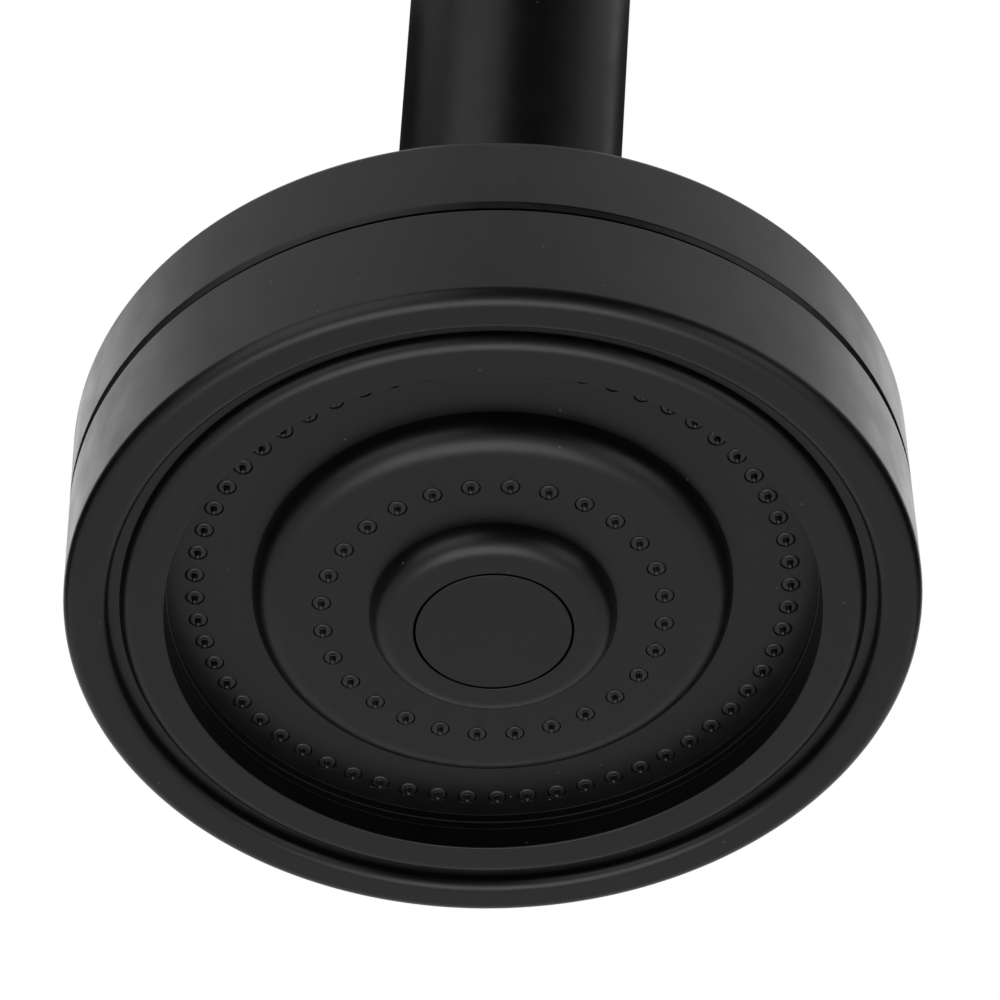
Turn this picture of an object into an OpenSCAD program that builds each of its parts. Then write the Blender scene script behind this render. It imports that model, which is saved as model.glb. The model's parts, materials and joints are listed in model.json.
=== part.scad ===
// Ceiling shower set: a round head with two rings of nozzles and a centre button,
// on a ball joint at the end of a straight arm. Millimetres.
// The arm hangs along -Z from the ceiling plane at Z = 0.
// The head is drawn in its own frame, +Z to its back, with the flat of the spray disc at z = 0.

/* [Head] */
// Outer diameter of the head
head_d = 110; // [106:1:130]
// Height from the flat of the spray disc to the back face
head_back = 28.4; // [27:0.1:32]
// Wall of the outer shells
shell_wall = 2.2; // [1.8:0.1:3]
// Height from the flat of the spray disc to the seam between the shells
seam_z = 14.84; // [13.5:0.02:18]
// Open line between the two shells
seam_gap = 0.55; // [0.3:0.05:0.8]
// Width of the bevel that the rear shell has along the seam
reveal_w = 0.55; // [0.3:0.05:1]
// Height of that bevel
reveal_h = 0.57; // [0.3:0.01:1.5]
// Bevel on the front shell's back edge
front_reveal = 0.5; // [0.2:0.1:0.8]
// Thickness of the back wall
back_wall = 2.5; // [2:0.1:3]
// Rounding of the back edge
back_round = 1.2; // [0.4:0.1:1.5]

/* [Front rim] */
// How far the rim stands in front of the spray disc's flat
rim_drop = 1.9; // [1:0.1:2.5]
// Width of the rim
rim_w = 5.7; // [5:0.1:7]
// Rounding of the rim's outer edge
rim_outer_round = 1.9; // [0.8:0.1:2]
// Rounding of the rim's inner edge
rim_inner_round = 1.45; // [0.4:0.05:1.8]
// Width of the groove inside the rim
groove_w = 1.5; // [1:0.1:2.5]
// Thickness of the ring at the bottom of the groove
groove_ring_h = 1.8; // [1.2:0.1:2]
// Width of the face ring
face_ring_w = 5.7; // [4.5:0.1:6.5]
// How far the face ring stands in front of the spray disc's flat
face_ring_drop = 1.7; // [1:0.1:2.2]
// Rounding of the face ring's outer edge
face_ring_round = 2; // [0.4:0.1:2.4]

/* [Spray face] */
// Depth of the recess floor behind the spray disc's flat
recess_h = 4.14; // [3.6:0.02:5]
// Thickness of the recess floor
floor_h = 2.4; // [2:0.1:3]
// Width of the lip on the recess wall
lip_w = 0.25; // [0.1:0.05:0.4]
// Height of the lip on the recess wall
lip_h = 0.95; // [0.5:0.05:1.2]
// Diameter of the spray disc where it stands on the recess floor
disc_d = 62; // [60:1:66]
// Rounding of the spray disc's edge
disc_round = 4; // [2:0.1:4.1]
// Thickness of the spray disc
disc_h = 2.2; // [1.8:0.1:2.6]
// Wall of the skirt behind the spray disc
disc_skirt_w = 1.8; // [1.4:0.1:2.2]
// Diameter of the boss round the button
boss_d = 31.8; // [30:0.2:34]
// Height of the boss
boss_h = 3.4; // [2.6:0.1:3.8]
// Rounding of the boss's edge
boss_round = 3.1; // [1.5:0.1:3.4]
// Wall of the boss's skirt
boss_skirt_w = 1.7; // [1.4:0.1:1.9]

/* [Nozzles] */
// Number of nozzles in the outer ring
outer_count = 60; // [40:1:64]
// Distance of the outer ring of nozzles from the recess wall
outer_ring_in = 3.7; // [2.5:0.1:5]
// Number of nozzles in the inner ring
inner_count = 28; // [16:1:32]
// Radius of the inner ring of nozzles
inner_ring_r = 22.1; // [20:0.1:23]
// Diameter of the dimple round a nozzle
dimple_d = 2.6; // [2:0.1:3]
// Depth of the dimple
dimple_h = 0.4; // [0.2:0.05:0.8]
// Diameter of a nozzle's foot, which fills its hole
nozzle_d = 2.16; // [1.8:0.02:2.3]
// Bevel round a nozzle's foot
foot_bevel = 0.25; // [0.1:0.05:0.4]
// How far a nozzle's foot lies behind its face
foot_drop = 0.05; // [0:0.05:0.3]
// Diameter of a nozzle's pin at its root
pin_d = 0.84; // [0.7:0.02:1]
// Diameter of a nozzle's tip
nozzle_tip_d = 0.56; // [0.4:0.02:0.7]
// How far a nozzle stands in front of its face
nozzle_proud = 0.9; // [0.4:0.1:1.2]
// Thickness of the rubber mats that carry the nozzles
mat_h = 1.0; // [0.8:0.1:1.4]

/* [Button and valve] */
// Diameter of the button
button_d = 20; // [18:0.2:21]
// Open line round the button
button_gap = 0.3; // [0.2:0.05:0.5]
// Thickness of the button's top
button_top_h = 2.2; // [1.6:0.1:2.4]
// Travel of the button
button_travel = 2; // [1:0.1:2]
// Diameter of the stem between the button and the valve
stem_d = 4; // [3:0.1:4.4]
// Diameter of the button's spring at the middle of the wire
spring_d = 11; // [10:0.2:14]
// Diameter of the spring's wire
spring_wire_d = 0.8; // [0.6:0.1:1]
// Number of turns of the spring
spring_turns = 3; // [2:0.5:3.5]
// Thickness of the guide that the stem runs through
guide_h = 1.5; // [1.2:0.1:2]
// Height of the guide's front face behind the spray disc's flat
guide_z = 4.5; // [4.2:0.1:4.8]
// Diameter of the valve's opening
valve_bore_d = 8.4; // [7.6:0.2:9]
// Height of the raised seat round that opening
valve_seat_h = 0.4; // [0.2:0.1:0.5]
// Diameter of the valve's rubber washer
valve_washer_d = 12; // [11:0.2:13]
// Thickness of the valve's rubber washer
valve_washer_h = 1; // [0.8:0.1:1.2]
// Thickness of the plate behind the washer
valve_plate_h = 1; // [0.8:0.1:1.2]

/* [Water ways] */
// Height of the water ring behind the nozzles
chamber_h = 2.4; // [2:0.1:3]
// Thickness of the flow plate's web
web_h = 2; // [1.6:0.1:2.6]
// Number of openings that feed the outer ring
port_count = 6; // [3:1:8]
// Diameter of those openings
port_d = 4.4; // [3:0.2:5]
// Inner height of the cover behind the flow plate
cover_inside_h = 5.2; // [5:0.1:6.5]
// Thickness of that cover
cover_wall = 1.8; // [1.4:0.1:2.2]
// Number of screws that hold the cover
cover_screw_count = 6; // [4:1:8]
// Diameter of those screws
cover_screw_d = 3; // [2.5:0.1:3.5]
// Width of the gasket under the cover
gasket_w = 2.4; // [1.6:0.1:2.6]
// Thickness of the gasket
gasket_h = 0.8; // [0.6:0.1:1]

/* [Ball joint] */
// Diameter of the ball
ball_d = 19; // [18:0.2:20]
// How far a full ball would dip below the floor of its socket
ball_dip = 0.5; // [0.2:0.1:0.6]
// Running clearance round the ball
ball_gap = 0.05; // [0.02:0.01:0.1]
// Wall of the seat rings
seat_wall = 0.95; // [0.8:0.05:1.2]
// Height of the lower seat ring's top edge below the ball's centre
seat_low_top = 4; // [3.5:0.1:5]
// Height of the upper seat ring's bottom edge above the ball's centre
seat_high_bottom = 1; // [0.8:0.1:1.5]
// Height of the upper seat ring's top edge above the ball's centre
seat_high_top = 4.6; // [4:0.1:4.8]
// Wall of the socket
socket_wall = 2.5; // [2:0.1:3]
// Diameter of the collar nut
nut_d = 33; // [32:0.5:36]
// Height of the collar nut's top above the ball's centre
nut_top = 7.5; // [7:0.1:8]
// Diameter of the collar nut's mouth
nut_mouth_d = 20; // [19.6:0.1:21]
// Number of spanner slots in the collar nut
nut_slot_count = 6; // [4:1:8]
// Diameter of the ball's neck
neck_d = 10; // [9:0.2:10.4]
// Diameter of the water way through the ball
ball_bore_d = 6; // [4:0.2:6.4]
// Tilt of the head as it is shown
head_tilt = 20.5; // [0:0.5:25]
// Turn of the head on its own axis as it is shown
head_turn = 12.8; // [0:0.2:30]

/* [Arm] */
// Height of the ceiling above the ball's centre
arm_drop = 150; // [110:5:400]
// Outer diameter of the arm
arm_d = 30.5; // [28:0.5:34]
// Wall of the arm's tube
arm_wall = 2; // [1.5:0.1:3]
// Height of the arm's lower end above the ball's centre
arm_end_lift = 18; // [17.5:0.5:24]
// Height of the plain ring at each end of the arm
end_ring_h = 3; // [2:0.1:5]
// Rounding of the arm's lower edge
end_round = 1.2; // [0.5:0.1:1.8]
// Diameter of the journal that turns in the arm's lower end
journal_d = 14; // [13:0.2:15]
// Length of that journal
journal_l = 13; // [12:0.5:18]
// Running clearance round the journal
journal_gap = 0.05; // [0.02:0.01:0.1]

/* [Ceiling end] */
// Diameter of the threaded inlet at its crests
inlet_d = 18.6; // [18:0.1:19]
// Depth of the threaded inlet
inlet_l = 13; // [11:0.5:16]
// Thickness of the inlet washer
washer_h = 2; // [1.5:0.1:3]
// Thickness of the strainer
strainer_h = 0.6; // [0.4:0.1:1]
// Diameter of the flow limiter
limiter_d = 13; // [11:0.2:14]
// Length of the flow limiter
limiter_l = 8; // [6:0.5:10]
// Diameter of the ceiling plate
plate_d = 60; // [58:1:70]
// Thickness of the ceiling plate
plate_h = 6; // [4:0.5:8]
// Distance of the screw holes' circle from the clamp collar
screw_circle_out = 3.75; // [3:0.25:5]
// Diameter of those holes
screw_hole_d = 5.2; // [4:0.1:6]
// Width of the clamp collar under the plate, from the arm's surface
collar_w = 4; // [3.5:0.1:5]
// Height of the clamp collar
collar_h = 5.5; // [5:0.5:7]
// Diameter of the clamp screws
clamp_screw_d = 4; // [3:0.5:4.5]
// Gap between the ceiling plate and the cover rose
rose_gap = 1.5; // [0.5:0.1:4]
// Height of the cover rose
rose_h = 16; // [15.5:0.5:20]
// Wall of the cover rose
rose_wall = 1.5; // [1.2:0.1:2]
// Rounding of the cover rose's lower edge
rose_round = 1.2; // [0.5:0.1:1.4]
// Height of the hub inside the cover rose
rose_hub_h = 4; // [3.6:0.1:4.2]

/* [Hidden] */

// Turned surfaces and fits
$fn = 96;
fit = 0.05;
slide_fit = 0.08;
rest_gap = 0.3;

// Radii across the face, from the rim inwards
head_r = head_d / 2;
shell_inner_r = head_r - shell_wall;
rim_inner_r = head_r - rim_w;
face_ring_r = rim_inner_r - groove_w;
recess_r = face_ring_r - face_ring_w;
disc_r = disc_d / 2;
disc_skirt_in = 2.6;
disc_skirt_r = disc_r - disc_skirt_in;
disc_skirt_inner_r = disc_skirt_r - disc_skirt_w;
button_r = button_d / 2;
boss_inner_r = button_r + button_gap;
boss_skirt_r = boss_inner_r + boss_skirt_w;
outer_ring_r = recess_r - outer_ring_in;

// Heights through the head, from the rim to the ball
groove_z = 0;
lip_back_z = groove_z;
plate_z = groove_z + groove_ring_h;
floor_back_z = recess_h + floor_h;
mat_back_z = floor_back_z + mat_h;
web_z = floor_back_z + chamber_h;
web_back_z = web_z + web_h;
roof_z = web_back_z + cover_inside_h;
cover_back_z = roof_z + cover_wall;
socket_floor_h = 1.5;
ball_r = ball_d / 2;
ball_lift = ball_r - ball_dip;
socket_floor_z = cover_back_z + socket_floor_h;
ball_z = socket_floor_z + ball_lift;
shoulder_z = head_back - back_wall;
nut_top_z = ball_z + nut_top;

// Face plates
plate_play = 0.25;
plate_r = shell_inner_r - plate_play;
spigot_r = shell_inner_r - fit;
spigot_wall = 2.1;
spigot_rise = 2.2;
spigot_top_z = seam_z + seam_gap + spigot_rise;
rib_w = 0.8;
rib_outer_r = disc_skirt_r + rib_w;
mat_half_w = 2.4;
mat_gap = 2;
outer_mat_r = outer_ring_r + mat_half_w;
outer_mat_inner_r = outer_ring_r - mat_half_w;
rim_land_r = outer_mat_r + fit;

// Valve
button_front_z = -boss_h;
button_back_z = button_front_z + button_top_h;
stem_r = stem_d / 2;
button_hub_r = 3.2;
button_hub_top_z = guide_z - button_travel - rest_gap;
stem_sink = 0.5;
stem_front_z = button_back_z + stem_sink;
seal_wire_d = 1.5;
valve_seat_z = web_back_z + valve_seat_h;
valve_washer_z = valve_seat_z + rest_gap;
valve_plate_z = valve_washer_z + valve_washer_h;

// Cover of the water way
cover_gap = 0.6;
cover_flange_r = spigot_r - spigot_wall - cover_gap;
cover_flange_h = 2;
screw_head_w = 0.35;
screw_head_r = cover_screw_d / 2 + screw_head_w * cover_screw_d;
screw_head_h = 2;
screw_edge = 0.5;
cover_screw_circle_r = cover_flange_r - screw_edge - screw_head_r;
gasket_r = cover_screw_circle_r - cover_screw_d / 2 - screw_edge - gasket_w;
cover_wall_r = cover_screw_circle_r - screw_head_r - screw_edge - cover_wall;
socket_bore_out = 1;
socket_bore_r = ball_bore_d / 2 + socket_bore_out;
cover_hole_out = 2.5;
cover_hole_r = socket_bore_r + cover_hole_out;

// Ball joint
seat_sphere_r = ball_r + ball_gap;
seat_r = seat_sphere_r + seat_wall - ball_gap;
socket_inner_r = seat_r + fit;
socket_r = socket_inner_r + socket_wall;
socket_rise = 3;
socket_top_z = ball_z + socket_rise;
nut_r = nut_d / 2;
nut_lip_z = ball_z + seat_high_top + rest_gap;
nut_throat_gap = 0.86;
nut_throat_r = on_ball(seat_high_top + rest_gap, ball_r) + nut_throat_gap;
neck_r = neck_d / 2;
neck_top = 12;
journal_shoulder_r = 8.5;
journal_r = journal_d / 2;
groove_depth = 1.6;
snap_depth = 0.8;
snap_h = 1;

// Arm
arm_r = arm_d / 2;
tube_inner_r = arm_r - arm_wall;
plug_r = tube_inner_r - fit;
plug_l = 20;
tube_bottom_z = -arm_drop + arm_end_lift + end_ring_h;
tube_top_z = -end_ring_h;
inlet_r = inlet_d / 2;
thread_w = 0.7;
washer_r = inlet_r - thread_w;
strainer_z = -inlet_l - washer_h - strainer_h;
limiter_r = limiter_d / 2;
limiter_z = strainer_z - limiter_l;
inlet_floor_h = 2;
inlet_plug_z = limiter_z - inlet_floor_h;

// Ceiling end
arm_fit = 0.1;
collar_r = arm_r + collar_w;
plate_hole_count = 3;
clamp_count = 3;
clamp_start = 30;
screw_circle_r = collar_r + screw_circle_out;
plate_edge_r = plate_d / 2;
plate_hole_r = arm_r + arm_fit;
clamp_z = -plate_h - collar_h / 2;
rose_bore_wall_r = plate_edge_r + rose_gap;
rose_r = rose_bore_wall_r + rose_wall;
rose_fit = 0.25;
rose_bore_r = arm_r + rose_fit;
rose_hub_w = 3.4;
rose_hub_r = rose_bore_r + rose_hub_w;
rose_seal_d = 1.8;
rose_seal_z = -rose_h + rose_hub_h / 2;

// Points of a round corner of radius c about (x, y), from angle a to angle b
function corner(x, y, c, a, b, steps = 8) =
    [for (i = [0:steps]) [x + c * cos(a + (b - a) * i / steps), y + c * sin(a + (b - a) * i / steps)]];

// Radius of a ring that lies on the ball at height h from its centre
function on_ball(h, r = seat_sphere_r) = sqrt(r * r - h * h);

// One ring of points of a wire of diameter d at turn angle a and height z
function wire_ring(r, d, a, z, sides) =
    [for (k = [0:sides - 1])
        let (q = 360 * k / sides, x = r + d / 2 * cos(q))
        [x * cos(a), x * sin(a), z + d / 2 * sin(q)]];

// Turned band between two radii and two heights
module band(r0, r1, z0, z1) {
    rotate_extrude() translate([r0, z0]) square([r1 - r0, z1 - z0]);
}

// Turned solid from a list of radius and height points
module turned(points) {
    rotate_extrude() polygon(points);
}

// Round rubber ring
module o_ring(r, d, z) {
    rotate_extrude() translate([r, z]) circle(d = d, $fn = 32);
}

// Copies round the axis
module around(count, r, start = 0) {
    for (i = [0:count - 1]) rotate([0, 0, start + 360 * i / count]) translate([r, 0, 0]) children();
}

// Place of the head's frame on the arm
module on_ball_joint() {
    translate([0, 0, -arm_drop]) rotate([-head_tilt, 0, 0]) rotate([0, 0, -head_turn])
        translate([0, 0, -ball_z]) children();
}

// Place of the ball's centre on the arm
module at_ball() {
    translate([0, 0, -arm_drop]) children();
}

// Places of the outer ring of nozzles
module at_outer_nozzles() {
    around(outer_count, outer_ring_r) children();
}

// Places of the inner ring of nozzles
module at_inner_nozzles() {
    around(inner_count, inner_ring_r, 180 / inner_count) children();
}

// Dimple and hole of one nozzle, in a face at height z with the given thickness behind it
module nozzle_hole(z, depth) {
    hole_r = nozzle_d / 2 + fit;
    rotate_extrude($fn = 24) polygon([
        [0, z - 1], [dimple_d / 2, z - 1], [dimple_d / 2, z], [hole_r, z + dimple_h],
        [hole_r, z + depth + 1], [0, z + depth + 1]]);
}

// One nozzle through a face at height z, rooted in its mat at root_z
module nozzle(z, root_z) {
    foot_r = nozzle_d / 2;
    foot_z = z + foot_drop;
    tip_z = z - nozzle_proud;
    overlap = mat_h / 2;
    rotate_extrude($fn = 24) polygon([
        [0, tip_z], [nozzle_tip_d / 2, tip_z], [pin_d / 2, foot_z], [foot_r - foot_bevel, foot_z],
        [foot_r, foot_z + foot_bevel], [foot_r, root_z + overlap], [0, root_z + overlap]]);
}

// Outer cup with the rim
module front_shell() {
    z0 = -rim_drop;
    color("#202020") on_ball_joint() turned(concat(
        corner(head_r - rim_outer_round, z0 + rim_outer_round, rim_outer_round, 0, -90),
        corner(rim_inner_r + rim_inner_round, z0 + rim_inner_round, rim_inner_round, 270, 180),
        [[rim_inner_r, lip_back_z], [shell_inner_r, lip_back_z], [shell_inner_r, seam_z],
         [head_r - front_reveal, seam_z], [head_r, seam_z - front_reveal]]));
}

// Back cup with the spigot that the front shell screws onto
module rear_shell() {
    z0 = seam_z + seam_gap;
    color("#202020") on_ball_joint() turned(concat(
        [[socket_r + fit, shoulder_z], [shell_inner_r, shoulder_z], [shell_inner_r, spigot_top_z],
         [spigot_r - spigot_wall, spigot_top_z], [spigot_r - spigot_wall, web_back_z],
         [spigot_r, web_back_z], [spigot_r, z0], [head_r - reveal_w, z0], [head_r, z0 + reveal_h]],
        corner(head_r - back_round, head_back - back_round, back_round, 0, 90),
        [[socket_r + fit, head_back]]));
}

// Thin ring that shows at the bottom of the groove
module groove_ring() {
    color("#1c1c1c") on_ball_joint() band(face_ring_r + fit, plate_r, groove_z, plate_z);
}

// Raised ring round the recess
module face_ring() {
    z0 = -face_ring_drop;
    color("#202020") on_ball_joint() turned(concat(
        [[recess_r, plate_z], [recess_r, z0]],
        corner(face_ring_r - face_ring_round, z0 + face_ring_round, face_ring_round, -90, 0),
        [[face_ring_r, plate_z]]));
}

// Floor of the recess, with the dimpled holes of the outer nozzles
module spray_plate() {
    color("#202020") on_ball_joint() difference() {
        turned([[disc_skirt_r + fit, recess_h], [recess_r - lip_w, recess_h],
                [recess_r - lip_w, recess_h - lip_h], [recess_r, recess_h - lip_h], [recess_r, plate_z],
                [plate_r, plate_z], [plate_r, floor_back_z], [disc_skirt_r + fit, floor_back_z]]);
        at_outer_nozzles() nozzle_hole(recess_h, floor_h);
    }
}

// Raised disc with the dimpled holes of the inner nozzles
module spray_disc() {
    color("#202020") on_ball_joint() difference() {
        turned(concat(
            [[boss_skirt_r + fit, 0]],
            corner(disc_r - disc_round, disc_round, disc_round, -90, 0),
            [[disc_r, recess_h], [disc_skirt_r, recess_h], [disc_skirt_r, floor_back_z],
             [disc_skirt_inner_r, floor_back_z], [disc_skirt_inner_r, disc_h],
             [boss_skirt_r + fit, disc_h]]));
        at_inner_nozzles() nozzle_hole(0, disc_h);
    }
}

// Rubber mat with the outer ring of nozzles
module outer_nozzles() {
    color("#1a1a1a") on_ball_joint() {
        band(outer_mat_inner_r, outer_mat_r, floor_back_z, mat_back_z);
        at_outer_nozzles() nozzle(recess_h, floor_back_z);
    }
}

// Rubber mat with the inner ring of nozzles
module inner_nozzles() {
    color("#1a1a1a") on_ball_joint() {
        band(boss_skirt_r + mat_gap, disc_skirt_inner_r - fit, disc_h, disc_h + mat_h);
        at_inner_nozzles() nozzle(0, disc_h);
    }
}

// Domed ring round the button, with its skirt
module boss() {
    boss_r = boss_d / 2;
    color("#202020") on_ball_joint() turned(concat(
        [[boss_inner_r, -boss_h]],
        corner(boss_r - boss_round, -boss_h + boss_round, boss_round, -90, 0),
        [[boss_r, 0], [boss_skirt_r, 0], [boss_skirt_r, floor_back_z], [boss_inner_r, floor_back_z]]));
}

// Round push button with the hub that holds the valve stem
module push_button() {
    edge = 0.2;
    color("#202020") on_ball_joint() turned([
        [0, button_front_z], [button_r - edge, button_front_z], [button_r, button_front_z + edge],
        [button_r, button_back_z], [button_hub_r, button_back_z], [button_hub_r, button_hub_top_z],
        [stem_r + fit, button_hub_top_z], [stem_r + fit, stem_front_z], [0, stem_front_z]]);
}

// Coil spring between the button and its guide
module button_spring() {
    sides = 8;
    steps = 20;
    rings = spring_turns * steps;
    z0 = button_back_z + spring_wire_d / 2 + fit;
    z1 = guide_z - spring_wire_d / 2 - fit;
    points = [for (i = [0:rings])
        each wire_ring(spring_d / 2, spring_wire_d, 360 * i / steps, z0 + (z1 - z0) * i / rings, sides)];
    walls = [for (i = [0:rings - 1], k = [0:sides - 1])
        let (n = (k + 1) % sides) [i * sides + k, (i + 1) * sides + k, (i + 1) * sides + n, i * sides + n]];
    ends = [[for (k = [0:sides - 1]) k], [for (k = [sides - 1:-1:0]) rings * sides + k]];
    color("silver") on_ball_joint() polyhedron(points, concat(walls, ends), convexity = 10);
}

// Disc inside the boss that guides the stem and carries the spring
module button_guide() {
    color("#3a3a3a") on_ball_joint()
        band(stem_r + slide_fit, boss_inner_r - fit, guide_z, guide_z + guide_h);
}

// Seal of the stem, on the guide
module stem_seal() {
    seal_r = stem_r + slide_fit + seal_wire_d / 2;
    color("#101010") on_ball_joint() o_ring(seal_r, seal_wire_d, guide_z + guide_h + seal_wire_d / 2);
}

// Stem with the plate that lifts off the valve seat
module valve_stem() {
    color("#c8a860") on_ball_joint() turned([
        [0, stem_front_z], [stem_r, stem_front_z], [stem_r, valve_plate_z],
        [valve_washer_d / 2, valve_plate_z], [valve_washer_d / 2, valve_plate_z + valve_plate_h],
        [0, valve_plate_z + valve_plate_h]]);
}

// Rubber washer that closes the valve
module valve_washer() {
    color("#101010") on_ball_joint() band(stem_r + fit, valve_washer_d / 2, valve_washer_z, valve_plate_z);
}

// Plate that splits the water between the two rings, with the valve seat
module flow_plate() {
    bore_r = valve_bore_d / 2;
    seat_w = 1;
    color("#3a3a3a") on_ball_joint() difference() {
        turned([
            [bore_r, web_z], [disc_skirt_inner_r, web_z], [disc_skirt_inner_r, floor_back_z],
            [rib_outer_r, floor_back_z], [rib_outer_r, web_z], [rim_land_r, web_z],
            [rim_land_r, floor_back_z], [plate_r, floor_back_z], [plate_r, web_back_z],
            [gasket_r + gasket_w + fit, web_back_z], [gasket_r + gasket_w + fit, web_back_z - gasket_h],
            [gasket_r - fit, web_back_z - gasket_h], [gasket_r - fit, web_back_z],
            [bore_r + seat_w, web_back_z], [bore_r + seat_w, valve_seat_z], [bore_r, valve_seat_z]]);
        around(port_count, outer_ring_r) translate([0, 0, web_z - 1]) cylinder(d = port_d, h = web_h + 2);
        around(cover_screw_count, cover_screw_circle_r, 180 / cover_screw_count)
            translate([0, 0, floor_back_z + 1]) cylinder(d = cover_screw_d + 2 * fit, h = web_back_z);
    }
}

// Flat gasket under the cover
module cover_gasket() {
    color("#101010") on_ball_joint() band(gasket_r, gasket_r + gasket_w, web_back_z - gasket_h, web_back_z);
}

// Cover that closes the water way behind the flow plate
module water_cover() {
    outer_r = cover_wall_r + cover_wall;
    flange_top = web_back_z + cover_flange_h;
    color("#c8a860") on_ball_joint() difference() {
        turned([
            [cover_wall_r, web_back_z], [cover_flange_r, web_back_z], [cover_flange_r, flange_top],
            [outer_r, flange_top], [outer_r, roof_z], [cover_wall_r, cover_back_z],
            [cover_hole_r, cover_back_z], [cover_hole_r, roof_z], [cover_wall_r - cover_wall, roof_z],
            [cover_wall_r, roof_z - cover_wall]]);
        around(cover_screw_count, cover_screw_circle_r, 180 / cover_screw_count)
            translate([0, 0, web_back_z - 1]) cylinder(d = cover_screw_d + 2 * fit, h = cover_flange_h + 2);
    }
}

// Screws that hold the cover to the flow plate
module cover_screws() {
    head_z = web_back_z + cover_flange_h;
    skin = 1.2;
    tip_z = floor_back_z + skin;
    key_d = cover_screw_d * 0.8;
    color("silver") on_ball_joint() around(cover_screw_count, cover_screw_circle_r, 180 / cover_screw_count)
        difference() {
            union() {
                translate([0, 0, tip_z]) cylinder(d = cover_screw_d, h = head_z - tip_z + 0.1, $fn = 24);
                translate([0, 0, head_z]) cylinder(r = screw_head_r, h = screw_head_h, $fn = 24);
            }
            translate([0, 0, head_z + screw_head_h / 2]) cylinder(d = key_d, h = screw_head_h, $fn = 6);
        }
}

// Socket of the ball, with the shoulder under the back wall
module ball_socket() {
    foot_w = 3;
    foot_r = socket_r + foot_w;
    color("#c8a860") on_ball_joint() turned([
        [socket_bore_r, cover_back_z], [foot_r, cover_back_z], [foot_r, shoulder_z],
        [socket_r, shoulder_z], [socket_r, socket_top_z], [socket_inner_r, socket_top_z],
        [socket_inner_r, socket_floor_z], [socket_bore_r, socket_floor_z]]);
}

// Seat ring under the ball
module lower_seat() {
    lip = 2.5;
    hole_r = ball_bore_d / 2 + lip;
    bottom = -ball_lift + rest_gap;
    low = -sqrt(pow(seat_sphere_r, 2) - pow(hole_r, 2));
    a0 = asin(low / seat_sphere_r);
    a1 = asin(-seat_low_top / seat_sphere_r);
    color("ivory") on_ball_joint() translate([0, 0, ball_z]) turned(concat(
        [[seat_r, bottom], [seat_r, -seat_low_top]],
        corner(0, 0, seat_sphere_r, a1, a0),
        [[hole_r, bottom]]));
}

// Seat ring over the ball
module upper_seat() {
    a0 = asin(seat_high_bottom / seat_sphere_r);
    a1 = asin(seat_high_top / seat_sphere_r);
    color("ivory") on_ball_joint() translate([0, 0, ball_z]) turned(concat(
        corner(0, 0, seat_sphere_r, a1, a0),
        [[seat_r, seat_high_bottom], [seat_r, seat_high_top]]));
}

// Nut that closes the socket and clamps the back wall
module collar_nut() {
    edge = 1;
    slot_w = 3;
    slot_depth = 1.2;
    slot_h = 4;
    cutter = 4;
    color("#202020") on_ball_joint() difference() {
        turned(concat(
            [[socket_r + fit, head_back], [nut_r, head_back]],
            corner(nut_r - edge, nut_top_z - edge, edge, 0, 90),
            [[nut_mouth_d / 2, nut_top_z], [nut_throat_r, nut_lip_z], [socket_inner_r, nut_lip_z],
             [socket_inner_r, socket_top_z + fit], [socket_r + fit, socket_top_z + fit]]));
        around(nut_slot_count, nut_r - slot_depth)
            translate([0, -slot_w / 2, nut_top_z - slot_h]) cube([cutter, slot_w, slot_h + 1]);
    }
}

// Ball with its neck and the journal that turns in the arm's end
module ball_stem() {
    bore_r = ball_bore_d / 2;
    shoulder_top = arm_end_lift - rest_gap;
    journal_top = arm_end_lift + journal_l;
    ring_z = journal_top + rest_gap;
    seal_z = arm_end_lift + journal_l / 2;
    cut_h = seal_wire_d + 2 * rest_gap;
    neck_foot = on_ball(neck_r, ball_r);
    bevel = 1.5;
    tail = 1.5;
    end_z = ring_z + snap_h + tail;
    color("#c0c0c0") at_ball() turned(concat(
        [[bore_r, -on_ball(bore_r, ball_r)]],
        corner(0, 0, ball_r, -acos(bore_r / ball_r), acos(neck_r / ball_r), 20),
        [[neck_r, neck_foot + fit], [neck_r, neck_top], [journal_shoulder_r, shoulder_top - bevel],
         [journal_shoulder_r, shoulder_top], [journal_r, shoulder_top],
         [journal_r, seal_z - cut_h / 2], [journal_r - groove_depth, seal_z - cut_h / 2],
         [journal_r - groove_depth, seal_z + cut_h / 2], [journal_r, seal_z + cut_h / 2],
         [journal_r, ring_z], [journal_r - snap_depth, ring_z], [journal_r - snap_depth, ring_z + snap_h],
         [journal_r, ring_z + snap_h], [journal_r, end_z], [bore_r, end_z]]));
}

// Seal of the journal
module journal_seal() {
    seal_r = journal_r - groove_depth + seal_wire_d / 2 + fit;
    color("#101010") at_ball() o_ring(seal_r, seal_wire_d, arm_end_lift + journal_l / 2);
}

// Snap ring over the journal
module retaining_ring() {
    z0 = arm_end_lift + journal_l + rest_gap;
    ring_r = journal_r + 2;
    slot_w = 3;
    color("silver") at_ball() difference() {
        band(journal_r - snap_depth + fit, ring_r, z0 + fit, z0 + snap_h - fit);
        translate([0, -slot_w / 2, z0 - 1]) cube([ring_r + 1, slot_w, snap_h + 2]);
    }
}

// Plug in the arm's lower end, bored for the journal
module arm_end() {
    bore_r = journal_r + journal_gap;
    z0 = arm_end_lift;
    pocket_w = 3;
    pocket_r = journal_r + pocket_w;
    color("#202020") at_ball() turned(concat(
        [[bore_r, z0]],
        corner(arm_r - end_round, z0 + end_round, end_round, -90, 0),
        [[arm_r, z0 + end_ring_h], [plug_r, z0 + end_ring_h], [plug_r, z0 + plug_l],
         [pocket_r, z0 + plug_l], [pocket_r, z0 + journal_l], [bore_r, z0 + journal_l]]));
}

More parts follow.
